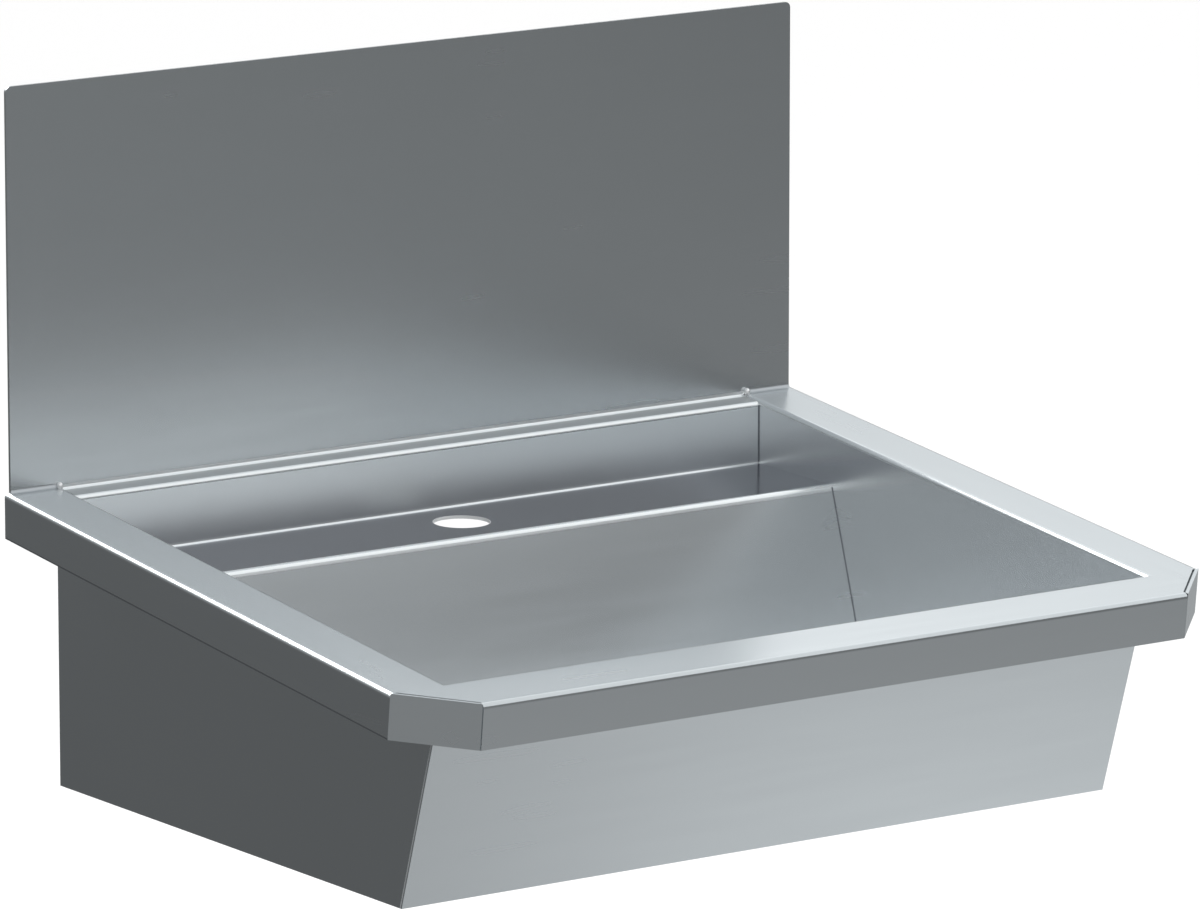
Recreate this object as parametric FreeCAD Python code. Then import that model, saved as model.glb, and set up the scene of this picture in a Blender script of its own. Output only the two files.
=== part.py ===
"""Wall-hung stainless steel hand wash sink, folded and welded from 2 mm sheet.

Millimetres. +X is to the right, the front faces -Y and +Z is up. The origin lies on the wall
plane, in the middle of the splashback's back face, level with the back end of the rim.

The rim slopes down to the front, so the pieces that follow it (cheeks, front panel and corner
plates) are drawn in the rim's own plane, where Z is square to the rim, and are then tilted.
"""
import FreeCAD, Part
import math
import os

V = FreeCAD.Vector

# ---- sheet -----------------------------------------------------------------------------------
sheet = 2.0                  # thickness of every folded sheet
bend_inside = 1.0            # inside radius of every fold
bend_outside = bend_inside + sheet

# ---- outline ---------------------------------------------------------------------------------
width = 580.0                # over the two side lips
depth = 450.0                # from the wall to the front lip
rim_slope = 6.2              # degrees, falling to the front
lip_height = 27.5            # turned-down edge, measured square to the rim
corner_cut = 38.0            # each leg of the cut-off front corners
corner_seam = 1.2            # open seam between a corner plate and the rim
corner_end_seam = 0.5        # and between the plate and the front lip
rim_overhang = 36.5          # from each side lip to the side wall's outer face
front_rim = 40.0             # from the front lip to the bowl
skirt_drop = 184.0           # bottom edge of the side and front walls below the origin
wall_lean = 17.5             # degrees from upright, front wall and sloping back wall

# ---- splashback and tap ledge ----------------------------------------------------------------
splash_inset = 3.0           # from each side lip to the splashback's edge
splash_height = 245.0
splash_corner_radius = 3.5
strip_step = 1.0             # the strip behind the bowl lies this far below the rim
strip_depth = 19.0           # from the wall to the upright step
ledge_level = 42.0           # back edge of the tap ledge below the origin
ledge_depth = 77.0
ledge_fall = 1.0             # towards the bowl
tap_hole = 35.0              # diameter

# ---- bowl floor ------------------------------------------------------------------------------
floor_level = 142.0          # edge of the floor below the origin
floor_fall = 8.0             # from the edge to the waste
floor_flange = 12.0          # level edge folded from the sloping wall
waste_from_wall = 253.0
waste_flat = 100.0           # square flat round the waste
dish_radius = 36.5           # pressed seat for the waste
dish_depth = 3.0
dish_side_angle = 60.0       # degrees
dish_bend = 1.5              # the cut across each of its two bends
dish_blank_radius = 44.0
floor_hole = 48.0            # diameter
pad_width = 105.0            # damping pads under the floor
pad_depth = 130.0
pad_thickness = 2.5
pad_from_middle = 82.0

# ---- welds -----------------------------------------------------------------------------------
weld_leg = 2.5

# ---- behind the skirt ------------------------------------------------------------------------
angle_wall_leg = 30.0
angle_side_leg = 25.0
angle_top = 60.0             # below the origin
angle_bottom = 150.0
slot_width = 9.0
slot_length = 18.0
slot_first = 75.0            # below the origin
slot_pitch = 60.0
slot_from_side = 17.5        # from the side wall to the middle of a slot
brace_height = 25.0
brace_leg = 20.0

# ---- waste fitting ---------------------------------------------------------------------------
thread_diameter = 41.91      # 1 1/4 inch pipe thread for the trap
clamp_diameter = 44.0        # the thicker length that passes through the floor
clamp_below_nut = 2.0
waste_bore = 35.0
waste_tail_end = 208.0       # below the origin
waste_flange = 63.0
waste_flange_edge = 1.5
waste_edge_round = 0.6
grate_diameter = 39.0
grate_clearance = 0.3        # all round the grate
grate_thickness = 1.2
grate_hole = 7.0
grate_ring = 12.6            # radius on which the holes lie
grate_holes = 8
spider_bar = 4.0
spider_height = 6.0
spider_hub = 11.0
spider_below_grate = 1.5
screw_diameter = 5.0
screw_head = 9.5
screw_head_height = 1.8
screw_length = 12.0
screw_clearance = 0.1
screw_drive = 1.2            # width of the slot in the head
top_gasket_thickness = 1.5
gasket_clearance = 0.4       # to the tail and to the hole in the floor
bottom_gasket_thickness = 4.0
bottom_gasket_diameter = 60.0
slip_washer_thickness = 1.5
slip_washer_diameter = 58.0
backnut_across_flats = 52.0
backnut_height = 9.0
backnut_collar = 56.0
backnut_collar_height = 2.5
thread_clearance = 0.05

# ---- bonding stud ----------------------------------------------------------------------------
stud_diameter = 6.0
stud_length = 20.0
stud_from_wall = 70.0
stud_level = 165.0
stud_foot_diameter = 9.0
stud_foot_height = 1.2
washer_diameter = 12.0
washer_thickness = 1.6
nut_across_flats = 10.0
nut_height = 5.0
stud_thread_clearance = 0.1

# ---- values that follow ----------------------------------------------------------------------
half_width = width / 2
splash_half = half_width - splash_inset
slope = math.radians(rim_slope)
lean = math.radians(wall_lean)
rim_reach = depth / math.cos(slope)             # wall to front lip, along the rim
wall_outside = half_width - rim_overhang
wall_inside = wall_outside - sheet
front_lean = lean - slope                       # front wall against the rim's normal
fold_end = bend_outside * 1.25                  # the folds into the bowl end above this
big = 2000.0
strip_back = -strip_step - sheet * math.tan(slope)
strip_front = -strip_step - strip_depth * math.tan(slope)
ledge_front_y = strip_depth + ledge_depth
ledge_front_level = ledge_level + ledge_fall
slope_foot_y = ledge_front_y + (floor_level - ledge_front_level) * math.tan(lean)
floor_back_y = slope_foot_y + floor_flange
bowl_front_y = (rim_reach - front_rim) * math.cos(slope)
bowl_front_level = (rim_reach - front_rim) * math.sin(slope)
floor_front_y = bowl_front_y - (floor_level - bowl_front_level) * math.tan(lean)
tap_y = strip_depth + ledge_depth / 2           # the middle of the ledge
tail_radius = thread_diameter / 2
clamp_radius = clamp_diameter / 2
dish_top = -(floor_level + floor_fall + dish_depth)
flange_under = dish_top + top_gasket_thickness
flange_top = flange_under + waste_flange_edge
under_floor = dish_top - sheet
nut_top = under_floor - bottom_gasket_thickness - slip_washer_thickness


# ---- helpers ---------------------------------------------------------------------------------
def face_of(edges):
    """A flat face from edges that close a loop."""
    return Part.Face(Part.Wire(Part.__sortEdges__(edges)))


def polygon(points):
    return Part.Face(Part.makePolygon(points + points[:1]))


def box(x, y, z):
    """A box from three (low, high) pairs."""
    return Part.makeBox(x[1] - x[0], y[1] - y[0], z[1] - z[0], V(x[0], y[0], z[0]))


def beyond(point, normal):
    """All the space on the side of a plane that its normal points to."""
    return Part.makeCylinder(big, big, point, normal)


def turned(points):
    """A solid turned round Z from its half section, given as (radius, level) pairs."""
    return polygon([V(r, 0, z) for r, z in points]).revolve(V(0, 0, 0), V(0, 0, 1), 360)


def washer(inner, outer, low, high):
    return turned([(inner, low), (outer, low), (outer, high), (inner, high)])


def nut(across_flats, bore, low, high):
    """A hexagon nut round Z."""
    corner = across_flats / 2 / math.cos(math.radians(30))
    angles = [math.radians(60 * i) for i in range(6)]
    points = [V(corner * math.cos(a), corner * math.sin(a), low) for a in angles]
    hexagon = polygon(points).extrude(V(0, 0, high - low))
    return hexagon.cut(washer(0, bore, low, high))


def mirrored(shape):
    """The left-hand piece made right-hand."""
    return shape.mirror(V(0, 0, 0), V(1, 0, 0))


def tilted(shape):
    """From the rim's own plane to the part's frame."""
    placed = shape.copy()
    placed.rotate(V(0, 0, 0), V(1, 0, 0), rim_slope)
    return placed


def at_waste(shape):
    return shape.translated(V(0, -waste_from_wall, 0))


def folded(corners, place):
    """The cross-section of a folded sheet.

    corners are the sharp corners of the face that shows, in a plane's own two coordinates,
    walked so that the sheet lies to the right. place turns two coordinates into a point in
    space. Each corner becomes a pair of concentric arcs.
    """
    points = [V(a, b, 0) for a, b in corners]
    edges = []

    def right_of(run):
        return V(run.y, -run.x, 0)

    def unit(start, end):
        return (end - start).normalize()

    def line(start, end):
        edges.append(Part.LineSegment(place(start.x, start.y), place(end.x, end.y)).toShape())

    def arc(start, middle, end):
        three = [place(p.x, p.y) for p in (start, middle, end)]
        edges.append(Part.Arc(*three).toShape())

    shown = points[0]
    hidden = shown + right_of(unit(points[0], points[1])) * sheet
    line(shown, hidden)
    for before, corner, after in zip(points, points[1:], points[2:]):
        run_in = unit(before, corner)
        run_out = unit(corner, after)
        towards_hidden = run_in.cross(run_out).z < 0
        shown_radius = bend_outside if towards_hidden else bend_inside
        hidden_radius = bend_inside if towards_hidden else bend_outside
        side = right_of(run_in) if towards_hidden else right_of(run_in) * -1
        reach = shown_radius * math.tan(run_in.getAngle(run_out) / 2)
        start = corner - run_in * reach
        end = corner + run_out * reach
        centre = start + side * shown_radius
        middle = unit(centre, corner)
        hidden_start = centre + unit(centre, start) * hidden_radius
        hidden_end = centre + unit(centre, end) * hidden_radius
        line(shown, start)
        arc(start, centre + middle * shown_radius, end)
        line(hidden, hidden_start)
        arc(hidden_start, centre + middle * hidden_radius, hidden_end)
        shown = end
        hidden = hidden_end
    hidden_last = points[-1] + right_of(unit(points[-2], points[-1])) * sheet
    line(shown, points[-1])
    line(hidden, hidden_last)
    line(points[-1], hidden_last)
    return face_of(edges)


# ---- cuts that several sheets share ----------------------------------------------------------
behind_wall = beyond(V(0, 0, 0), V(0, 1, 0))
below_skirt = beyond(V(0, 0, -skirt_drop), V(0, 0, -1))
bowl_corner = V(-wall_inside, -(rim_reach - front_rim), 0)      # in the rim's plane
lip_corner = V(-half_width, -rim_reach, 0)
mitre_line = lip_corner - bowl_corner
to_front_rim = V(-mitre_line.y, mitre_line.x, 0).normalize()    # square to the mitred weld
past_front_wall = beyond(bowl_corner, V(0, -math.cos(front_lean), -math.sin(front_lean)))
plate_room = (sheet + corner_seam) / math.sqrt(2)
rim_corner = V(-half_width + plate_room, -(rim_reach - corner_cut) + plate_room, 0)
past_rim_corner = beyond(rim_corner, V(-1, -1, 0))              # room for the plate and its seam


# ---- the folded and welded sheets ------------------------------------------------------------
def left_cheek():
    """Lip, side rim and side wall in one folded sheet."""
    overrun = strip_depth * 2
    section = folded(
        [(-half_width, -lip_height), (-half_width, 0), (-wall_inside, 0), (-wall_inside, -big / 4)],
        lambda a, b: V(a, overrun, b),
    )
    blank = section.extrude(V(0, -(rim_reach + overrun), 0))
    bowl_side = box((-(half_width + wall_outside) / 2, 0), (-big, big), (-big, -fold_end))
    past_lip = box((-big, 0), (-big, -(rim_reach - corner_cut)), (-big, big))
    rim = blank.cut(bowl_side)
    rim = rim.cut(beyond(bowl_corner, to_front_rim))
    rim = rim.cut(past_rim_corner.common(past_lip))
    wall = blank.common(bowl_side).cut(past_front_wall)
    cheek = tilted(rim.fuse(wall).removeSplitter())
    return cheek.cut(behind_wall).cut(below_skirt)


def front_panel():
    """Lip, front rim and leaning front wall in one folded sheet."""
    wall_run = big / 4
    bowl_edge = -(rim_reach - front_rim)
    foot = (bowl_edge + wall_run * math.sin(front_lean), -wall_run * math.cos(front_lean))
    section = folded(
        [(-rim_reach, -lip_height), (-rim_reach, 0), (bowl_edge, 0), foot],
        lambda a, b: V(-half_width, a, b),
    )
    blank = section.extrude(V(width, 0, 0))
    bowl_side = box((-big, big), (bowl_edge - front_rim / 2, big), (-big, -fold_end))
    rim = blank.cut(bowl_side)
    past_lip = box((-big, -half_width + corner_cut), (-big, big), (-big, big))
    for cut in (beyond(bowl_corner, to_front_rim * -1), past_rim_corner.common(past_lip)):
        rim = rim.cut(cut).cut(mirrored(cut))
    between_cheeks = box((-wall_outside, wall_outside), (-big, big), (-big, 0))
    wall = blank.common(bowl_side).common(between_cheeks)
    return tilted(rim.fuse(wall).removeSplitter()).cut(below_skirt)


def left_corner_plate():
    """The plate that closes the cut-off corner, joined to the side lip, its other seams open."""
    bevel = sheet * math.sqrt(2)
    side_end = -(rim_reach - corner_cut)
    front_end = -half_width + corner_cut - corner_end_seam
    front_face = -rim_reach + corner_end_seam
    outline = [
        V(-half_width, side_end, -lip_height),
        V(front_end, front_face, -lip_height),
        V(front_end, front_face + bevel, -lip_height),
        V(-half_width + bevel, side_end, -lip_height),
    ]
    return tilted(polygon(outline).extrude(V(0, 0, lip_height)))


def splash_plate():
    """The upstand over its full width, down to the rim on both sides of the bowl."""
    plate = box((-splash_half, splash_half), (-sheet, 0), (-strip_depth, splash_height))
    top = [e for e in plate.Edges if e.CenterOfMass.z > splash_height - sheet]
    upper_corners = [e for e in top if abs(e.CenterOfMass.x) > splash_half - sheet]
    plate = plate.makeFillet(splash_corner_radius, upper_corners)
    return plate.cut(beyond(V(0, 0, 0), V(0, math.sin(slope), -math.cos(slope))))


def back_panel():
    """Splashback, strip, step, tap ledge, sloping wall and back edge of the floor."""
    section = folded(
        [
            (-floor_back_y, -floor_level),
            (-slope_foot_y, -floor_level),
            (-ledge_front_y, -ledge_front_level),
            (-strip_depth, -ledge_level),
            (-strip_depth, strip_front),
            (-sheet, strip_back),
            (-sheet, splash_height),
        ],
        lambda a, b: V(-wall_inside, a, b),
    )
    panel = section.extrude(V(2 * wall_inside, 0, 0))
    panel = panel.fuse(splash_plate()).removeSplitter()
    drill = Part.makeCylinder(tap_hole / 2, ledge_level, V(0, -tap_y, -ledge_level * 1.5))
    return panel.cut(drill)


def falls(level, thickness):
    """A sheet with four falls to a square flat, the edge of its upper face at the level."""
    half = waste_flat / 2
    edge = (-wall_inside, wall_inside, -floor_front_y, -floor_back_y)
    flat = (-half, half, -waste_from_wall - half, -waste_from_wall + half)

    def loop(span, z):
        left, right, front, back = span
        return [V(left, front, z), V(right, front, z), V(right, back, z), V(left, back, z)]

    upper = loop(edge, level)
    lower = loop(flat, level - floor_fall)
    faces = [polygon(upper), polygon(lower)]
    for i in range(4):
        k = (i + 1) % 4
        faces.append(polygon([upper[i], upper[k], lower[k], lower[i]]))
    hollow = Part.makeSolid(Part.makeShell(faces))
    band = box(edge[:2], edge[2:], (level - thickness, level))
    return hollow.translated(V(0, 0, -thickness)).fuse(band).cut(hollow).removeSplitter()


def pressed_dish():
    """The round seat of the waste, pressed down from the flat of the floor."""
    top = -(floor_level + floor_fall)
    turn = math.radians(dish_side_angle)
    foot = dish_radius - dish_depth / math.tan(turn)
    along = dish_bend * math.cos(turn)
    up = dish_bend * math.sin(turn)
    shift = sheet * math.tan(turn / 2)
    return at_waste(
        turned(
            [
                (floor_hole / 2, dish_top),
                (foot - dish_bend, dish_top),
                (foot + along, dish_top + up),
                (dish_radius - along, top - up),
                (dish_radius + dish_bend, top),
                (dish_blank_radius, top),
                (dish_blank_radius, top - sheet),
                (dish_radius + shift, top - sheet),
                (foot + shift, dish_top - sheet),
                (floor_hole / 2, dish_top - sheet),
            ]
        )
    )


def bowl_floor():
    """Four falls to a flat with the pressed seat of the waste."""
    floor = falls(-floor_level, sheet).cut(tilted(past_front_wall))
    blank = Part.makeCylinder(dish_blank_radius, floor_level, V(0, 0, -floor_level * 1.5))
    return floor.cut(at_waste(blank)).fuse(pressed_dish()).removeSplitter()


def damping_pads():
    """Two soft pads glued under the falls beside the waste."""
    under = falls(-floor_level - sheet, pad_thickness)
    near = -waste_from_wall - pad_depth / 2
    footprint = box(
        (-pad_from_middle - pad_width, -pad_from_middle), (near, near + pad_depth), (-big / 2, 0)
    )
    left = under.common(footprint)
    return Part.makeCompound([left, mirrored(left)])


def rim_welds():
    """Hollow fillet welds where the side rims meet the splashback."""
    corner = V(-splash_half, -sheet, -sheet * math.tan(slope))
    up = corner + V(0, 0, weld_leg)
    out = corner + V(0, -math.cos(slope), -math.sin(slope)) * weld_leg
    sag = (up + out - corner * 2).normalize() * weld_leg * (math.sqrt(2) - 1)
    hollow = Part.Arc(up, corner + sag, out).toShape()
    legs = [Part.LineSegment(corner, end).toShape() for end in (up, out)]
    left = face_of(legs + [hollow]).extrude(V(splash_half - wall_inside - bend_outside, 0, 0))
    return Part.makeCompound([left, mirrored(left)])


# ---- behind the skirt ------------------------------------------------------------------------
def left_wall_angle():
    """The slotted angle that takes the wall screws, welded inside the side wall."""
    section = folded(
        [
            (-wall_inside, -angle_side_leg),
            (-wall_inside, 0),
            (-wall_inside + angle_wall_leg, 0),
        ],
        lambda a, b: V(a, b, -angle_bottom),
    )
    angle = section.extrude(V(0, 0, angle_bottom - angle_top))
    half_slot = (slot_length - slot_width) / 2
    middle = -wall_inside + slot_from_side
    across = (middle - half_slot, middle + half_slot)
    for level in (slot_first, slot_first + slot_pitch):
        upright = (-level - slot_width / 2, -level + slot_width / 2)
        angle = angle.cut(box(across, (-sheet, 0), upright))
        for end in across:
            start = V(end, -sheet, -level)
            angle = angle.cut(Part.makeCylinder(slot_width / 2, sheet, start, V(0, 1, 0)))
    return angle


def rear_brace():
    """The angle that holds the two side walls apart at the bottom, against the wall."""
    section = folded(
        [(0, -skirt_drop + brace_height), (0, -skirt_drop), (-brace_leg, -skirt_drop)],
        lambda a, b: V(-wall_inside, a, b),
    )
    return section.extrude(V(2 * wall_inside, 0, 0))


# ---- waste fitting ---------------------------------------------------------------------------
def waste_body():
    """Flange, threaded tail and the spider that the grate is screwed to."""
    bore = waste_bore / 2
    flange = waste_flange / 2
    seat = grate_diameter / 2 + grate_clearance
    seat_level = flange_top - grate_thickness
    shoulder = nut_top - backnut_height - clamp_below_nut
    body = turned(
        [
            (bore, -waste_tail_end),
            (tail_radius, -waste_tail_end),
            (tail_radius, shoulder),
            (clamp_radius, shoulder),
            (clamp_radius, flange_under),
            (flange, flange_under),
            (flange, flange_top - waste_edge_round),
            (flange - waste_edge_round, flange_top),
            (seat, flange_top),
            (seat, seat_level),
            (bore, seat_level),
        ]
    )
    top = seat_level - spider_below_grate
    middle = (bore + clamp_radius) / 2
    bar = box((-middle, middle), (-spider_bar / 2, spider_bar / 2), (top - spider_height, top))
    hub = washer(0, spider_hub / 2, top - spider_height, top)
    tapping = washer(0, screw_diameter / 2 + screw_clearance, top - spider_height, top)
    return at_waste(body.fuse(bar).fuse(hub).cut(tapping).removeSplitter())


def waste_grate():
    """The drilled plate over the waste."""
    low = flange_top - grate_thickness
    plate = washer(screw_diameter / 2 + screw_clearance, grate_diameter / 2, low, flange_top)
    hole = Part.makeCylinder(grate_hole / 2, grate_thickness * 3, V(0, 0, low - grate_thickness))
    for i in range(grate_holes):
        turn = math.radians(360 * (i + 0.5) / grate_holes)
        place = V(grate_ring * math.cos(turn), grate_ring * math.sin(turn), 0)
        plate = plate.cut(hole.translated(place))
    return at_waste(plate)


def grate_screw():
    """The slotted screw in the middle of the grate."""
    head = screw_head / 2
    shank = screw_diameter / 2
    top = flange_top + screw_head_height
    screw = turned(
        [
            (0, flange_top - screw_length),
            (shank, flange_top - screw_length),
            (shank, flange_top),
            (head, flange_top),
            (head, top),
            (0, top),
        ]
    )
    slot = box((-head, head), (-screw_drive / 2, screw_drive / 2), (top - screw_head_height / 2, top))
    return at_waste(screw.cut(slot))


def waste_top_gasket():
    """The flat gasket between the flange and its seat in the floor."""
    outer = waste_flange / 2 - waste_edge_round
    return at_waste(washer(clamp_radius + gasket_clearance, outer, dish_top, flange_under))


def waste_bottom_gasket():
    """The thick gasket under the floor."""
    low = under_floor - bottom_gasket_thickness
    inner = clamp_radius + gasket_clearance
    return at_waste(washer(inner, bottom_gasket_diameter / 2, low, under_floor))


def waste_slip_washer():
    """The hard washer that lets the backnut turn on the gasket."""
    inner = clamp_radius + gasket_clearance
    top = nut_top + slip_washer_thickness
    return at_waste(washer(inner, slip_washer_diameter / 2, nut_top, top))


def waste_backnut():
    """The collared hexagon nut that clamps the waste."""
    bore = clamp_radius + thread_clearance
    collar_low = nut_top - backnut_collar_height
    collar = washer(bore, backnut_collar / 2, collar_low, nut_top)
    low = nut_top - backnut_height
    hexagon = nut(backnut_across_flats, bore, low, collar_low)
    corner = backnut_across_flats / 2 / math.cos(math.radians(30))
    drop = (corner - backnut_across_flats / 2) * math.tan(math.radians(30))
    turned_off = turned(
        [
            (0, low),
            (backnut_across_flats / 2, low),
            (corner, low + drop),
            (corner, collar_low),
            (0, collar_low),
        ]
    )
    return at_waste(collar.fuse(hexagon.common(turned_off)).removeSplitter())


# ---- bonding stud ----------------------------------------------------------------------------
def on_stud(shape):
    """From a piece drawn round Z, its seat at zero, to the stud's place on the right side wall."""
    placed = shape.copy()
    placed.rotate(V(0, 0, 0), V(0, 1, 0), -90)
    return placed.translated(V(wall_inside, -stud_from_wall, -stud_level))


def bonding_stud():
    """The threaded stud with its welded foot, for the earth wire."""
    radius = stud_diameter / 2
    foot = stud_foot_diameter / 2
    return on_stud(
        turned(
            [
                (0, 0),
                (foot, 0),
                (foot, stud_foot_height),
                (radius, stud_foot_height),
                (radius, stud_length),
                (0, stud_length),
            ]
        )
    )


def bonding_washer():
    inner = stud_diameter / 2 + stud_thread_clearance
    top = stud_foot_height + washer_thickness
    return on_stud(washer(inner, washer_diameter / 2, stud_foot_height, top))


def bonding_nut():
    low = stud_foot_height + washer_thickness
    bore = stud_diameter / 2 + stud_thread_clearance
    return on_stud(nut(nut_across_flats, bore, low, low + nut_height))


# ---- the whole sink --------------------------------------------------------------------------
cheek = left_cheek()
corner_plate = left_corner_plate()
wall_angle = left_wall_angle()
pieces = {
    "back_panel": back_panel(),
    "left_cheek": cheek,
    "right_cheek": mirrored(cheek),
    "front_panel": front_panel(),
    "left_corner_plate": corner_plate,
    "right_corner_plate": mirrored(corner_plate),
    "bowl_floor": bowl_floor(),
    "rim_welds": rim_welds(),
    "damping_pads": damping_pads(),
    "left_wall_angle": wall_angle,
    "right_wall_angle": mirrored(wall_angle),
    "rear_brace": rear_brace(),
    "waste_body": waste_body(),
    "waste_grate": waste_grate(),
    "grate_screw": grate_screw(),
    "waste_top_gasket": waste_top_gasket(),
    "waste_bottom_gasket": waste_bottom_gasket(),
    "waste_slip_washer": waste_slip_washer(),
    "waste_backnut": waste_backnut(),
    "bonding_stud": bonding_stud(),
    "bonding_washer": bonding_washer(),
    "bonding_nut": bonding_nut(),
}

os.makedirs("parts", exist_ok=True)
for node, shape in pieces.items():
    shape.exportStep(f"parts/{node}.step")
    limits = shape.BoundBox
    print(
        f"{node:22s} solids {len(shape.Solids)} valid {shape.isValid()} volume {shape.Volume:10.1f}"
        f"  x {limits.XMin:7.1f} {limits.XMax:7.1f}  y {limits.YMin:7.1f} {limits.YMax:7.1f}"
        f"  z {limits.ZMin:7.1f} {limits.ZMax:7.1f}"
    )
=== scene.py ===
# %% [markdown]
# # A brushed steel hand wash sink
# This lesson dresses a sink that is already modelled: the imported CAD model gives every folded
# sheet, and the lesson adds finishes, welds, threads, light and a camera. We start by loading
# that model as a frame. Nothing in it is moved, because every size was settled there.

# %% Load the sink
import math

import bmesh
import bpy
from mathutils import Matrix, Vector


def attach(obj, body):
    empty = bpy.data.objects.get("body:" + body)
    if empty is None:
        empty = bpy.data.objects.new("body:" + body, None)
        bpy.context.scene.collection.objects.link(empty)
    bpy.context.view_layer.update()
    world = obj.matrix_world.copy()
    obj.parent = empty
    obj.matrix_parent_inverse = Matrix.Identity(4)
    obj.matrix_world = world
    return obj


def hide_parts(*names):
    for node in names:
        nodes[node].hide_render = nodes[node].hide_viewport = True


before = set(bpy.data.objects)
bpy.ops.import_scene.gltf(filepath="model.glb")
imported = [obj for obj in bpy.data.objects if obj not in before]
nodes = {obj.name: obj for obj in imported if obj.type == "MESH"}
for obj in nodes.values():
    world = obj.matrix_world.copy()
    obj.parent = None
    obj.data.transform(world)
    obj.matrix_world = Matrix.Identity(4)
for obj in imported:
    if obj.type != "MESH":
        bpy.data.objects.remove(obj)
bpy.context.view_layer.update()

# %% [markdown]
# ## The camera
# The picture was taken from the left, a little above the rim, through a long lens, so the
# upright edges stay parallel. We could place a camera by eye, but the straight folds of the
# sink fix it: two angles, a distance and a focal length are all that is needed.

# %% Camera
SINK_MIDDLE = Vector((0, -0.232, 0))
AZIMUTH = math.radians(-35.059)
ELEVATION = math.radians(11.530)
DISTANCE = 5.63884
SENSOR = 36.0
PICTURE_WIDTH = 1200
LENS = 9504.19 / PICTURE_WIDTH * SENSOR
AIM_LEFT = 0.015999
AIM_UP = 0.027212

back = Vector((
    math.sin(AZIMUTH) * math.cos(ELEVATION),
    -math.cos(AZIMUTH) * math.cos(ELEVATION),
    math.sin(ELEVATION),
))
right = Vector((math.cos(AZIMUTH), math.sin(AZIMUTH), 0))
up = back.cross(right)
aim = SINK_MIDDLE - AIM_LEFT * right + AIM_UP * up

lens = bpy.data.cameras.new("long_lens")
lens.sensor_width = SENSOR
lens.lens = LENS
lens.clip_end = 100
camera = bpy.data.objects.new("camera", lens)
turned_to_aim = Matrix((right, up, back)).transposed().to_4x4()
camera.matrix_world = Matrix.Translation(aim + DISTANCE * back) @ turned_to_aim
bpy.context.collection.objects.link(camera)
bpy.context.scene.camera = camera
bpy.context.scene.view_settings.view_transform = "Standard"
print("camera at", [round(v, 3) for v in camera.location], "lens", round(LENS, 1), "mm")

# %% [markdown]
# ## Shader maths as Python
# A finish is a small network of nodes. Wiring each Math node by hand hides the idea, so a
# class wraps a socket and lets us write `grain * 0.1 + 0.3`. Each operator adds its node.
# Every other node comes from one method that takes the node's type, its settings and inputs.

# %% Sockets that add up
class Wire:
    """An output socket with arithmetic."""

    def __init__(self, finish, socket):
        self.finish = finish
        self.socket = socket

    def maths(self, operation, first, second):
        return self.finish.node("ShaderNodeMath", {"operation": operation}, {0: first, 1: second})

    def __add__(self, other):
        return self.maths("ADD", self, other)

    def __sub__(self, other):
        return self.maths("SUBTRACT", self, other)

    def __rsub__(self, other):
        return self.maths("SUBTRACT", other, self)

    def __mul__(self, other):
        return self.maths("MULTIPLY", self, other)

    def __truediv__(self, other):
        return self.maths("DIVIDE", self, other)

    def __abs__(self):
        return self.maths("ABSOLUTE", self, 0)

    def greater(self, other):
        return self.maths("MAXIMUM", self, other)

    def smaller(self, other):
        return self.maths("MINIMUM", self, other)

    def root(self):
        return self.maths("SQRT", self, 0)

    __radd__ = __add__
    __rmul__ = __mul__


class Finish:
    """A material and the nodes inside it."""

    def __init__(self, name):
        self.material = bpy.data.materials.new(name)
        self.material.use_nodes = True
        self.tree = self.material.node_tree
        self.shader = self.tree.nodes["Principled BSDF"]

    def node(self, kind, settings=None, inputs=None, output=0):
        made = self.tree.nodes.new(kind)
        for setting, value in (settings or {}).items():
            if setting == "stops":
                ramp = made.color_ramp.elements
                while len(ramp) < len(value):
                    ramp.new(0.5)
                for stop, (place, colour) in zip(ramp, value):
                    stop.position = place
                    stop.color = (*colour, 1)
            else:
                setattr(made, setting, value)
        for socket, value in (inputs or {}).items():
            if isinstance(value, Wire):
                self.tree.links.new(value.socket, made.inputs[socket])
            else:
                made.inputs[socket].default_value = value
        return Wire(self, made.outputs[output])

    def set(self, **values):
        """Sets the shader's sockets, with _ for a space: a number, a colour or a wire."""
        for name, value in values.items():
            socket = self.shader.inputs[name.replace("_", " ")]
            if isinstance(value, Wire):
                self.tree.links.new(value.socket, socket)
            else:
                socket.default_value = (*value, 1) if isinstance(value, tuple) else value

    def place(self, stretch=(1, 1, 1)):
        """Object coordinates, squeezed by a factor along each axis."""
        coordinates = self.node("ShaderNodeTexCoord", output="Object")
        return self.node("ShaderNodeMapping", {}, {"Vector": coordinates, "Scale": stretch})

    def axes(self):
        """X, Y and Z of the object coordinates, in metres."""
        split = self.tree.nodes.new("ShaderNodeSeparateXYZ")
        self.tree.links.new(self.place().socket, split.inputs[0])
        return [Wire(self, socket) for socket in split.outputs]

    def noise(self, vector, scale, detail=2.0):
        return self.node("ShaderNodeTexNoise", {}, {"Vector": vector, "Scale": scale, "Detail": detail})

    def blend(self, share, first, second):
        """From one colour to another as the share goes from 0 to 1."""
        def colour(value):
            return value if isinstance(value, Wire) else (*value, 1)

        return self.node(
            "ShaderNodeMix", {"data_type": "RGBA"}, {0: share, 6: colour(first), 7: colour(second)}, 2
        )

    def bump(self, height, strength, distance):
        return self.node(
            "ShaderNodeBump", {}, {"Height": height, "Strength": strength, "Distance": distance}
        )


print("shader helpers ready")

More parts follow.
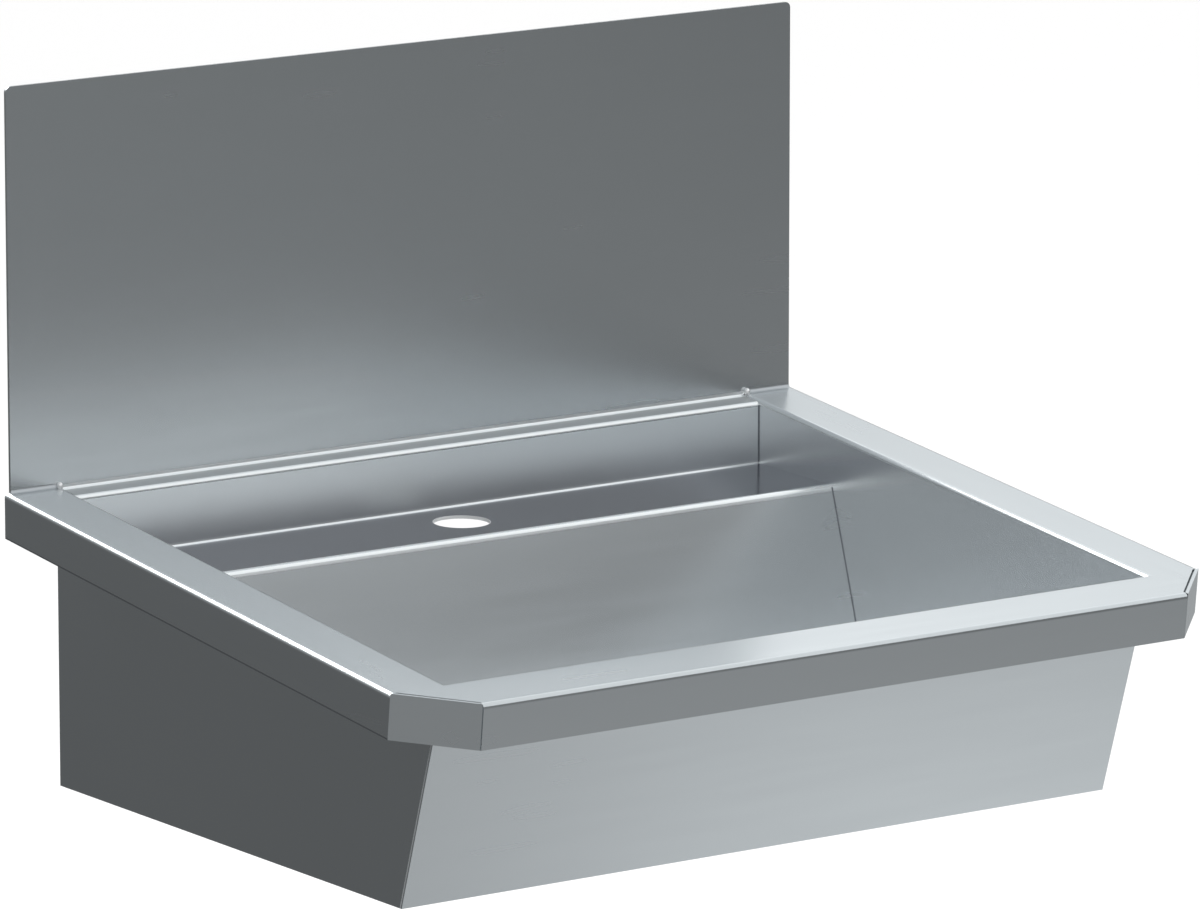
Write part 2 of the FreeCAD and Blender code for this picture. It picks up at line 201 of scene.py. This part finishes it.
# %% [markdown]
# ## Brushed steel
# The sheets are satin stainless steel. The mill draws an abrasive belt along each sheet, which
# leaves hair-thin scratches, all one way. Painting them as an image would tile and blur, so we
# stretch noise along the grain: a fine one that tilts the surface a little, a broader one for
# streaks in the tone, and one without a direction for the cloudiness of a real sheet. All three
# stay faint, because from a step away such a sheet looks smooth.

# %% A brushed sheet
STEEL = (0.660, 0.685, 0.700)
STEEL_DULL = (0.640, 0.664, 0.680)
ROUGHNESS = 0.26
ALONG = 1.0
ACROSS = 60.0
SCRATCH_SCALE = 30.0
SCRATCH_TILT = 0.015
SCRATCH_DEPTH = 0.00002
STREAK_SCALE = 9.0
STREAK_POWER = 0.6
STREAK_ROUGHNESS = 0.05
CLOUD_SCALE = 5.0
CLOUD_ROUGHNESS = 0.04
ZONE_EDGE = 0.0005


def brushed(name, axis, zones=()):
    """Satin steel whose grain runs along X (0), Y (1) or Z (2).

    Each zone is a depth from X, Y and Z in metres, above zero inside the zone, with the colour
    painted there, mostly painted light or shade, and the roughness that the sheet has there.
    """
    finish = Finish(name)
    stretch = [ACROSS] * 3
    stretch[axis] = ALONG
    scratches = finish.noise(finish.place(tuple(stretch)), SCRATCH_SCALE)
    streaks = finish.noise(finish.place(tuple(s ** STREAK_POWER for s in stretch)), STREAK_SCALE, 1.0)
    clouds = finish.noise(finish.place(), CLOUD_SCALE)
    colour = finish.blend(streaks, STEEL, STEEL_DULL)
    mean_change = (STREAK_ROUGHNESS + CLOUD_ROUGHNESS) / 2
    roughness = streaks * STREAK_ROUGHNESS + clouds * CLOUD_ROUGHNESS + (ROUGHNESS - mean_change)
    for depth, zone_colour, zone_roughness in zones:
        share = (depth(*finish.axes()) / ZONE_EDGE + 0.5).greater(0).smaller(1)
        colour = finish.blend(share, colour, zone_colour)
        roughness = roughness + share * (zone_roughness - ROUGHNESS)
    finish.set(
        Metallic=1.0,
        Base_Color=colour,
        Roughness=roughness,
        Normal=finish.bump(scratches, SCRATCH_TILT, SCRATCH_DEPTH),
    )
    return finish


print("brushed steel ready")

# %% [markdown]
# ## Zones
# One sheet doesn't look the same all over, and the zones paint light and shade into its colour.
# The bowl's left and front walls and the step get a lighter colour as painted light, and the walls
# get a rougher satin. The ledge is smoother and painted darker as shade, and the strip is painted
# darker as shade too. The folds and the edge of the tap hole get painted highlights, and the lowest
# edge of each side lip gets painted shade. The zones only follow what shows. We could split the
# mesh and give each part a finish, but a CAD mesh stays as it is. So each zone is a depth in metres,
# worked out from planes, and follows the sheet exactly. A zone is a function of X, Y and Z; where
# two limits hold, the smaller depth counts.

# %% Planes of the bowl
RIM_SLOPE = math.radians(6.2)
WALL_LEAN = math.radians(17.5)
HALF_SHEET = 0.001
BOWL_EDGE = Vector((0.2515, -0.41023, -0.04457))
LIP = 0.0275
LIP_INNER = 0.280
# Width of the band of painted shade along the lowest edge of each side lip.
LIP_SHADE_BAND = 0.0009


def into_front_wall(x, y, z):
    """Depth past the middle of the front wall's sheet, which leans back towards its foot."""
    level = (z - BOWL_EDGE.z) * math.sin(WALL_LEAN)
    return (y - BOWL_EDGE.y) * math.cos(WALL_LEAN) + level + HALF_SHEET


def into_left_wall(x, y, z):
    return x + (BOWL_EDGE.x + HALF_SHEET)


# Painted shade: the lowest band of each side lip is painted dark.
def on_lip_edge(x, y, z):
    """The lowest part of a side lip, measured square to the rim."""
    below_rim = y * math.sin(RIM_SLOPE) - z * math.cos(RIM_SLOPE)
    return (below_rim - (LIP - LIP_SHADE_BAND)).smaller(abs(x) - LIP_INNER)


def everywhere(x, y, z):
    """The whole piece, since nothing reaches 1 m out from the wall."""
    return y + 1


print("bowl planes ready, front wall", round(math.degrees(WALL_LEAN), 1), "degrees from upright")

# %% [markdown]
# The back sheet runs from the splashback down over a strip, a step and the ledge to the sloping
# wall. Its zones are named by where they begin and end along Y, which points into the wall. Each
# of its four folds runs along X, so its Y, its Z and the reach of its painted highlight say where
# it is.

# %% Places on the back sheet
STRIP_BACK = -0.0040
STRIP_FRONT = -0.0185
STRIP_LOW = -0.0060
STEP_BACK = -0.0165
STEP_FRONT = -0.0205
LEDGE_BACK = -0.0200
LEDGE_FRONT = -0.0955
LEDGE_TOP = -0.0410
TAP_Y = -0.0575
TAP_REACH = 0.0178
# Painted highlight: a bright band is painted along each of these folds.
FOLDS = {
    "splashback foot": (-0.0035, -0.0010, 0.0020),
    "strip front": (-0.0187, -0.0035, 0.0018),
    "step foot": (-0.0195, -0.0416, 0.0016),
    "ledge front": (-0.0955, -0.0435, 0.0030),
}


def on_ledge(x, y, z):
    return (y - LEDGE_FRONT).smaller(LEDGE_BACK - y)


def on_strip(x, y, z):
    return (y - STRIP_FRONT).smaller(STRIP_BACK - y).smaller(z - STRIP_LOW)


def on_step(x, y, z):
    return (y - STEP_FRONT).smaller(STEP_BACK - y).smaller(STRIP_LOW - z)


def in_tap_hole(x, y, z):
    from_middle = (x * x + (y - TAP_Y) * (y - TAP_Y)).root()
    return (TAP_REACH - from_middle).smaller(LEDGE_TOP - z)


def along_fold(fold_y, fold_z, reach):
    """The part of the sheet within reach of a fold that runs along X."""
    return lambda x, y, z: (reach - abs(y - fold_y)).smaller(reach - abs(z - fold_z))


print(len(FOLDS), "folds on the back sheet")

# %% [markdown]
# A zone's look is a colour and a roughness. With them the seven steels can be made: one for each
# way the grain runs and each set of zones.

# %% Seven steels
# Painted light: this lighter steel stands in for the light that falls on the bowl's front and left
# walls and on the step.
STEEL_PAINTED_LIGHT = (0.840, 0.860, 0.870)
# Painted highlight: this near-white steel is painted along the folds.
STEEL_PAINTED_HIGHLIGHT = (0.940, 0.955, 0.960)
# Painted shade: the strip's darker steel stands in for the splashback's shadow on it.
STEEL_STRIP_SHADE = (0.500, 0.515, 0.525)
# Painted shade: the ledge's darker colour stands in for the splashback's shadow on it; its low
# roughness makes it smoother.
STEEL_LEDGE_SHADE = (0.270, 0.280, 0.325)
# Painted shade: this dark steel is painted along the lowest edge of each side lip.
STEEL_LIP_SHADE = (0.270, 0.280, 0.300)
SATIN_PAINTED_LIGHT = (STEEL_PAINTED_LIGHT, 0.62)
LIP_PAINTED_SHADE = (STEEL_LIP_SHADE, 0.40)
FOLD_PAINTED_HIGHLIGHT = (STEEL_PAINTED_HIGHLIGHT, 0.30)
LEDGE_PAINTED_SHADE = (STEEL_LEDGE_SHADE, 0.16)
STEP_PAINTED_LIGHT = (STEEL_PAINTED_LIGHT, 0.30)
STRIP_PAINTED_SHADE = (STEEL_STRIP_SHADE, 0.30)
BOWL = (STEEL, 0.50)
# Painted highlight: the inside edge of the tap hole is painted pure white.
HOLE_PAINTED_HIGHLIGHT = ((1.0, 1.0, 1.0), 1.0)

across_sink = brushed("steel_grain_across", 0)
upright = brushed("steel_grain_upright", 2)
# The back sheet's zones paint shade on the ledge and the strip, light on the step, and highlights on
# the folds and the tap hole's edge.
back_zones = [(on_ledge, *LEDGE_PAINTED_SHADE), (on_step, *STEP_PAINTED_LIGHT), (on_strip, *STRIP_PAINTED_SHADE)]
back_zones += [(along_fold(*line), *FOLD_PAINTED_HIGHLIGHT) for line in FOLDS.values()]
back_sheet = brushed("steel_back", 0, back_zones + [(in_tap_hole, *HOLE_PAINTED_HIGHLIGHT)])
# Painted light: the front and left walls get the lighter steel inside the bowl, with a rougher satin.
front_sheet = brushed("steel_front", 0, [(into_front_wall, *SATIN_PAINTED_LIGHT)])
left_sheet = brushed("steel_left", 1, [(into_left_wall, *SATIN_PAINTED_LIGHT), (on_lip_edge, *LIP_PAINTED_SHADE)])
right_sheet = brushed("steel_right", 1, [(on_lip_edge, *LIP_PAINTED_SHADE)])
bowl_satin = brushed("steel_bowl", 0, [(everywhere, *BOWL)])
print("seven steels")

# %% [markdown]
# ## The other finishes
# The waste is chromed, its nut is plain brass, and its gaskets are black rubber. Two small weld
# beads are painted pure white as a highlight, and the welds between the side rims and the
# splashback are duller. Small parts that nobody looks at from a step away still need the right
# gloss, because a flat grey there makes the whole underside look unfinished. Each could be a
# single colour, but a faint noise in the gloss reads as a real surface. Two functions make the
# metals and the rubbers.

# %% Chrome, brass, rubber and plastic
MOTTLE_SCALE = 900.0
RUBBER_LIGHTER = 1.8
PORE_ROUGHNESS = 0.15
PORE_TILT = 0.3
PORE_DEPTH = 0.0002
PLASTIC_SCALE = 1200.0


def plain_metal(name, colour, roughness, mottle):
    """A turned or plated metal with a faint mottle."""
    finish = Finish(name)
    specks = finish.noise(finish.place(), MOTTLE_SCALE)
    finish.set(Metallic=1.0, Base_Color=colour, Roughness=roughness + specks * mottle)
    return finish


def soft_black(name, colour, grain, roughness):
    """Rubber with a fine moulded grain."""
    finish = Finish(name)
    pores = finish.noise(finish.place(), grain, 4.0)
    finish.set(
        Base_Color=finish.blend(pores, colour, tuple(RUBBER_LIGHTER * c for c in colour)),
        Roughness=roughness + pores * PORE_ROUGHNESS,
        Normal=finish.bump(pores, PORE_TILT, PORE_DEPTH),
    )
    return finish


chrome = plain_metal("chrome", (0.80, 0.81, 0.83), 0.06, 0.04)
turned_steel = plain_metal("turned_steel", (0.62, 0.63, 0.65), 0.20, 0.10)
brass = plain_metal("brass", (0.78, 0.60, 0.30), 0.24, 0.12)
gasket_rubber = soft_black("gasket_rubber", (0.020, 0.020, 0.021), 1500.0, 0.55)
damping_rubber = soft_black("damping_rubber", (0.030, 0.030, 0.033), 500.0, 0.75)
white_plastic = Finish("white_plastic")
grain = white_plastic.noise(white_plastic.place(), PLASTIC_SCALE)
white_plastic.set(Base_Color=(0.80, 0.80, 0.76), Roughness=0.40 + grain * PORE_ROUGHNESS)
# Painted highlight: the beads' metal is pure white, brighter than steel, so that they show as bright
# dots.
weld_metal = plain_metal("weld_metal", (1.0, 1.0, 1.0), 0.30, 0.10)
dressed_weld = plain_metal("dressed_weld", (0.50, 0.52, 0.54), 0.30, 0.10)
print("small finishes made")

# %% [markdown]
# ## Each piece gets its finish
# The grain follows the sheet, so it runs along the side rims but across the front rim, and the
# two meet at the mitred corners as they do on the real sink.

# %% Hand out the finishes
FINISH_OF = {
    "back_panel": back_sheet,
    "left_cheek": left_sheet,
    "right_cheek": right_sheet,
    "front_panel": front_sheet,
    "left_corner_plate": across_sink,
    "right_corner_plate": across_sink,
    "bowl_floor": bowl_satin,
    "rim_welds": dressed_weld,
    "damping_pads": damping_rubber,
    "left_wall_angle": upright,
    "right_wall_angle": upright,
    "rear_brace": across_sink,
    "waste_body": chrome,
    "waste_grate": turned_steel,
    "grate_screw": turned_steel,
    "waste_top_gasket": gasket_rubber,
    "waste_bottom_gasket": gasket_rubber,
    "waste_slip_washer": white_plastic,
    "waste_backnut": brass,
    "bonding_stud": turned_steel,
    "bonding_washer": turned_steel,
    "bonding_nut": turned_steel,
}
for name, finish in FINISH_OF.items():
    nodes[name].data.materials.clear()
    nodes[name].data.materials.append(finish.material)
print(len(FINISH_OF), "of", len(nodes), "pieces finished")

# %% [markdown]
# ## Weld beads
# Where the strip behind the bowl ends, the picture shows a bright dot at each end, which we take
# for a small bead of weld. A drop modelled by hand would be no better at this size, so a sphere
# is made a little taller than wide and sunk in the corner.

# %% Beads at the ends of the strip
def finished(name, bm, finish, smooth=False):
    """Turns a bmesh into a piece that rides with the sink."""
    bmesh.ops.recalc_face_normals(bm, faces=bm.faces)
    mesh = bpy.data.meshes.new(name)
    bm.to_mesh(mesh)
    bm.free()
    mesh.materials.append(finish.material)
    for polygon in mesh.polygons:
        polygon.use_smooth = smooth
    piece = bpy.data.objects.new(name, mesh)
    bpy.context.collection.objects.link(piece)
    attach(piece, "root")
    return piece


BEAD = 0.0024
BEAD_SHAPE = (0.8, 0.9, 1.1)
BEAD_PLACE = Vector((0.2535, -0.0036, 0.0006))
for side, sign in (("left", -1), ("right", 1)):
    bm = bmesh.new()
    bmesh.ops.create_icosphere(bm, subdivisions=3, radius=BEAD)
    bmesh.ops.scale(bm, vec=BEAD_SHAPE, verts=bm.verts)
    bmesh.ops.translate(bm, vec=BEAD_PLACE * Vector((sign, 1, 1)), verts=bm.verts)
    finished(f"{side}_weld_bead", bm, weld_metal, smooth=True)
print("two weld beads")

# %% [markdown]
# ## Seams
# Inside the bowl the sheets meet in sharp corners, and the seam shows as a fine dark line of
# shade, which is painted. A zone on each sheet could paint it, but both sheets would have to
# agree. A thin dark three-sided bar in the corner paints that shade in one: two of its sides sink
# a little into the sheets and the third is what shows.

# %% Seams in the bowl's corners
SUNK = 0.00005
UPRIGHT_SEAM = 0.00085
SLOPING_SEAM = 0.00095
STEP_CORNER = (-0.0190, -0.0050, -0.0412)
SLOPE_CORNER = ((-0.0962, -0.0445), (-0.1268, -0.1415))
# Painted shade: the bars' dark metal stands in for the shade in the bowl's inside corners.
seam_painted_shade = Finish("seam_painted_shade")
seam_painted_shade.set(Metallic=1.0, Base_Color=(0.20, 0.21, 0.23), Roughness=0.45)


def seam_shade_bar(bm, start, stop, first, second, leg):
    """A bar along the corner between two sheets that run off in the first and second direction."""
    root = Vector(start) - (first + second) * SUNK
    corners = [bm.verts.new(root), bm.verts.new(root + first * leg), bm.verts.new(root + second * leg)]
    grown = bmesh.ops.extrude_face_region(bm, geom=[bm.faces.new(corners)])["geom"]
    far_end = [item for item in grown if isinstance(item, bmesh.types.BMVert)]
    bmesh.ops.translate(bm, vec=Vector(stop) - Vector(start), verts=far_end)


to_front = Vector((0, -1, 0))
off_slope = Vector((0, -math.cos(WALL_LEAN), math.sin(WALL_LEAN)))
step_y, step_top, step_foot = STEP_CORNER
slope_top, slope_foot = SLOPE_CORNER
for side, sign in (("left", -1), ("right", 1)):
    wall = sign * BOWL_EDGE.x
    inward = Vector((-sign, 0, 0))
    bm = bmesh.new()
    seam_shade_bar(bm, (wall, step_y, step_top), (wall, step_y, step_foot), inward, to_front, UPRIGHT_SEAM)
    seam_shade_bar(bm, (wall, *slope_top), (wall, *slope_foot), inward, off_slope, SLOPING_SEAM)
    finished(f"{side}_bowl_seam_shade", bm, seam_painted_shade)
print("four seams")

# %% [markdown]
# ## Threads
# The trap screws on to the waste's tail and the earth wire's nut on to the stud. In the CAD model
# both are plain cylinders of the thread's full size. A helix swept round a core would need
# boolean cuts where it begins and ends, so we turn the whole piece with many rows of points
# along the thread and then press the points in between the crests. Flat crests and roots with
# straight flanks are all that shows at this size.

# %% Turning and threading
FULL_TURN = 2 * math.pi
ROWS_PER_TURN = 8
ROW_MARGIN = 0.0001


def spun(bm, points, pairs, columns):
    """Joins the pairs of points by lines and spins them once round Z, with the ends merged."""
    lines = [bm.edges.new(pair) for pair in pairs]
    bmesh.ops.spin(
        bm,
        geom=points + lines,
        cent=(0, 0, 0),
        axis=(0, 0, 1),
        angle=FULL_TURN,
        steps=columns,
        use_merge=True,
    )


def turned(bm, profile, columns, hollow=False):
    """Turns rows of a height and a radius. A hollow profile closes on itself, others get caps."""
    points = [bm.verts.new((radius, 0, height)) for height, radius in profile]
    pairs = list(zip(points, points[1:]))
    if hollow:
        pairs.append((points[-1], points[0]))
    spun(bm, points, pairs, columns)
    if not hollow:
        bmesh.ops.holes_fill(bm, edges=[edge for edge in bm.edges if edge.is_boundary], sides=0)


def thread_rows(low, high, pitch, crest):
    """Rows from low to high for the points that the thread is pressed into."""
    count = round((high - low) / pitch * ROWS_PER_TURN)
    return [(low + (high - low) * i / count, crest) for i in range(count + 1)]


def press_thread(bm, low, high, pitch, crest, depth):
    """Moves the points from low to high inwards, between the crests of a right-hand thread."""
    for vert in bm.verts:
        x, y, height = vert.co
        if low - ROW_MARGIN < height < high + ROW_MARGIN:
            turn = math.atan2(y, x) / FULL_TURN
            from_crest = abs((height / pitch - turn) % 1 - 0.5)
            pressed = depth * min(max(from_crest * 4 - 0.5, 0), 1)
            vert.co.xy *= (crest - pressed) / crest


print("turning helpers ready")

# %% [markdown]
# The waste is one turned piece: a flange that sits in the floor's dish, a thick neck in the hole
# and the threaded tail. Two bars and a hub inside it hold the grate's screw. No picture shows
# it, so the pitch is the usual one of a 1 1/4 inch pipe thread, and the crest is as wide as the
# cylinder that the piece stands for.

# %% Waste with a threaded tail
WASTE_PLACE = (0, -0.253, 0)
WASTE_BORE = 0.0175
TAIL_CREST = 0.020955
TAIL_PITCH = 0.002309
TAIL_DEPTH = 0.00125
TAIL_ROOT = 0.0197
TAIL_CHAMFER = 0.0009
TAIL_END = -0.2080
TAIL_TOP = -0.1715
NECK = 0.0220
FLANGE = 0.0315
FLANGE_UNDER = -0.1515
FLANGE_TOP = -0.1500
FLANGE_ROUND = ((-0.1506, FLANGE), (-0.15018, 0.03132), (FLANGE_TOP, 0.0309))
GRATE_SEAT = (-0.1512, 0.0198)
SPIDER_TOP = -0.1527
SPIDER_HEIGHT = 0.0060
SPIDER_HUB = 0.0055
SPIDER_TAPPING = 0.0026
SPIDER_BAR = (0.0050, 0.0185, 0.0040)

bm = bmesh.new()
tail = (TAIL_END + TAIL_CHAMFER, TAIL_TOP - TAIL_CHAMFER)
seat_level, seat_radius = GRATE_SEAT
profile = [(TAIL_END, WASTE_BORE), (TAIL_END, TAIL_ROOT)]
profile += thread_rows(*tail, TAIL_PITCH, TAIL_CREST)
profile += [(TAIL_TOP, TAIL_ROOT), (TAIL_TOP, NECK), (FLANGE_UNDER, NECK), (FLANGE_UNDER, FLANGE)]
profile += [*FLANGE_ROUND, (FLANGE_TOP, seat_radius), GRATE_SEAT, (seat_level, WASTE_BORE)]
turned(bm, profile, 72, hollow=True)
press_thread(bm, *tail, TAIL_PITCH, TAIL_CREST, TAIL_DEPTH)

spider_low = SPIDER_TOP - SPIDER_HEIGHT
hub = [(spider_low, SPIDER_TAPPING), (spider_low, SPIDER_HUB)]
hub += [(SPIDER_TOP, SPIDER_HUB), (SPIDER_TOP, SPIDER_TAPPING)]
turned(bm, hub, 48, hollow=True)
near, far, width = SPIDER_BAR
for sign in (-1, 1):
    bar = bmesh.ops.create_cube(bm, size=1)["verts"]
    bmesh.ops.scale(bm, vec=(far - near, width, SPIDER_HEIGHT), verts=bar)
    bmesh.ops.translate(bm, vec=(sign * (near + far) / 2, 0, SPIDER_TOP - SPIDER_HEIGHT / 2), verts=bar)
bmesh.ops.translate(bm, vec=WASTE_PLACE, verts=bm.verts)
threaded_waste = finished("threaded_waste", bm, chrome)
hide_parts("waste_body")
print("waste:", len(threaded_waste.data.polygons), "faces")

# %% [markdown]
# The stud is welded to the inside of the right wall by a small foot and points to the left. It is
# turned upright, as the waste was, and laid down at the end.

# %% Stud with a metric thread
STUD_PLACE = (0.2515, -0.070, -0.165)
STUD_LENGTH = 0.0200
STUD_CREST = 0.0030
STUD_PITCH = 0.0010
STUD_DEPTH = 0.00055
STUD_ROOT = 0.0026
STUD_FOOT = 0.0045
STUD_FOOT_HEIGHT = 0.0012
STUD_PLAIN_TOP = 0.0015
STUD_THREAD_END = 0.0195

bm = bmesh.new()
threaded = (STUD_PLAIN_TOP, STUD_THREAD_END)
profile = [(0, STUD_FOOT), (STUD_FOOT_HEIGHT, STUD_FOOT), (STUD_FOOT_HEIGHT, STUD_ROOT)]
profile += thread_rows(*threaded, STUD_PITCH, STUD_CREST)
turned(bm, profile + [(STUD_LENGTH, STUD_ROOT)], 32)
press_thread(bm, *threaded, STUD_PITCH, STUD_CREST, STUD_DEPTH)
laid_down = Matrix.Rotation(-math.pi / 2, 4, "Y")
bmesh.ops.transform(bm, matrix=Matrix.Translation(STUD_PLACE) @ laid_down, verts=bm.verts)
threaded_stud = finished("threaded_stud", bm, turned_steel)
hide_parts("bonding_stud")
print("stud:", len(threaded_stud.data.polygons), "faces")

# %% [markdown]
# ## Stage
# A pale floor and soft light from all round suit steel, but steel shows what stands round it. In
# a white room it would look like paper. Photographers put dark cards round metal, so a ring
# of cards stands round the sink. Only reflections see it: it casts no shadow and hides nothing
# from the camera.

# %% Floor
FLOOR = -0.90
FLOOR_HALF = 30
bm = bmesh.new()
bmesh.ops.create_grid(bm, x_segments=1, y_segments=1, size=FLOOR_HALF)
bmesh.ops.translate(bm, vec=(0, 0, FLOOR), verts=bm.verts)
floor_mesh = bpy.data.meshes.new("floor")
bm.to_mesh(floor_mesh)
bm.free()
pale = Finish("pale_floor")
pale.set(Base_Color=(1.0, 1.0, 1.0), Roughness=0.9)
floor_mesh.materials.append(pale.material)
floor = bpy.data.objects.new("floor", floor_mesh)
bpy.context.collection.objects.link(floor)
print("floor at", FLOOR)

# %% [markdown]
# ## Cards round the sink
# The cards are one spun surface: a disc just above the floor, a wall round the sink and a roof.
# Many flat cards would do the same and leave hard edges in the steel. The glow depends on two
# angles only, the turn from the front and the height above the sink. Each row below is one
# height in degrees, with the brightness at the listed turns. The numbers were changed after
# each render, because each face of the sink mirrors one direction to the camera.

# %% Cards, seen only by the steel
CARD_INNER = 0.25
CARD_RADIUS = 3.0
CARD_LOW = FLOOR + 0.01
CARD_TOP = 2.3
ROOF = 3.4
CARD_COLUMNS = 72
CARD_STRENGTH = 0.85
TURNS = (-180, -120, -55, -36, 0, 28, 42, 60, 90, 125, 145, 180)
GLOW = {
    -45.0: (0.18, 0.20, 0.45, 0.55, 0.60, 0.60, 0.92, 1.25, 0.90, 0.80, 0.60, 0.20),
    -21.0: (0.15, 0.15, 0.34, 0.34, 0.36, 0.36, 0.40, 0.44, 0.55, 0.65, 0.30, 0.13),
    -11.5: (0.15, 0.15, 0.34, 0.32, 0.30, 0.30, 0.27, 0.23, 0.35, 0.50, 0.15, 0.13),
    11.5: (0.25, 0.35, 0.45, 0.45, 0.35, 0.19, 0.15, 0.15, 0.30, 0.20, 0.12, 0.12),
    17.5: (0.45, 0.60, 0.65, 0.65, 0.50, 0.32, 0.26, 0.26, 0.50, 0.90, 0.90, 0.50),
    22.0: (0.80, 0.90, 0.95, 0.90, 1.00, 1.02, 0.92, 0.90, 1.10, 1.48, 1.48, 1.00),
    26.0: (1.00, 1.00, 1.10, 1.10, 1.30, 1.45, 1.45, 1.35, 1.30, 1.58, 1.58, 1.20),
    38.0: (0.80, 0.80, 1.00, 1.00, 1.05, 1.05, 1.05, 1.15, 1.20, 1.38, 1.38, 1.00),
    60.0: (0.50, 0.50, 0.60, 0.70, 1.00, 1.15, 1.15, 1.15, 1.10, 1.00, 0.80, 0.60),
}
CARD_TINT = (0.965, 1.0, 1.015)

bm = bmesh.new()
profile = [(CARD_INNER, CARD_LOW), (CARD_RADIUS, CARD_LOW), (CARD_RADIUS, CARD_TOP), (CARD_INNER, ROOF)]
rungs = [bm.verts.new((0, -reach, height)) for reach, height in profile]
spun(bm, rungs, zip(rungs, rungs[1:]), CARD_COLUMNS)
card_mesh = bpy.data.meshes.new("cards")
bm.to_mesh(card_mesh)
bm.free()
print(len(card_mesh.polygons), "card faces")

# %% [markdown]
# The two angles come from the object coordinates. One ramp holds each row of the table, and the
# rows are blended by the height, so the glow changes softly in both directions.

# %% Glow of the cards
cards = Finish("card_grey")
x, y, z = cards.axes()
turn = x.maths("ARCTAN2", x, y * -1) / FULL_TURN + 0.5
height = z.maths("ARCTAN2", z, (x * x + y * y).root()) * (180 / math.pi)
colour = None
levels = sorted(GLOW)
for level, before in zip(levels, [None] + levels):
    tints = [tuple(glow * tone for tone in CARD_TINT) for glow in GLOW[level]]
    stops = [((at + 180) / 360, tint) for at, tint in zip(TURNS, tints)]
    row = cards.node("ShaderNodeValToRGB", {"stops": stops}, {0: turn})
    if before is None:
        colour = row
    else:
        share = ((height - before) / (level - before)).greater(0).smaller(1)
        colour = cards.blend(share, colour, row)
glow = cards.node("ShaderNodeEmission", {}, {"Color": colour, "Strength": CARD_STRENGTH})
cards.tree.links.new(glow.socket, cards.tree.nodes["Material Output"].inputs["Surface"])
card_mesh.materials.append(cards.material)
ring = bpy.data.objects.new("cards", card_mesh)
ring.location = SINK_MIDDLE
bpy.context.collection.objects.link(ring)
ring.visible_camera = False
ring.visible_diffuse = False
ring.visible_shadow = False
ring.visible_transmission = False
print(len(levels), "heights of", len(TURNS), "turns")

# %% [markdown]
# ## Light
# The room itself is white and gives most of the light. One broad lamp, high at the back and to
# the left, reaches over the rim and lights the inside of the bowl.

# %% World and lamp
LAMP_PLACE = Vector((-0.5, 1.2, 1.8))
LAMP_SIZE = 1.6
LAMP_POWER = 52.0

world = bpy.data.worlds.new("room")
world.use_nodes = True
world.node_tree.nodes["Background"].inputs["Color"].default_value = (1, 1, 1, 1)
world.node_tree.nodes["Background"].inputs["Strength"].default_value = 1.0
bpy.context.scene.world = world

light = bpy.data.lights.new("back_left_lamp", "AREA")
light.size = LAMP_SIZE
light.energy = LAMP_POWER
lamp = bpy.data.objects.new("back_left_lamp", light)
facing = (SINK_MIDDLE - LAMP_PLACE).to_track_quat("-Z", "Y").to_matrix().to_4x4()
lamp.matrix_world = Matrix.Translation(LAMP_PLACE) @ facing
lamp.visible_camera = False
bpy.context.collection.objects.link(lamp)
print("world and one lamp")
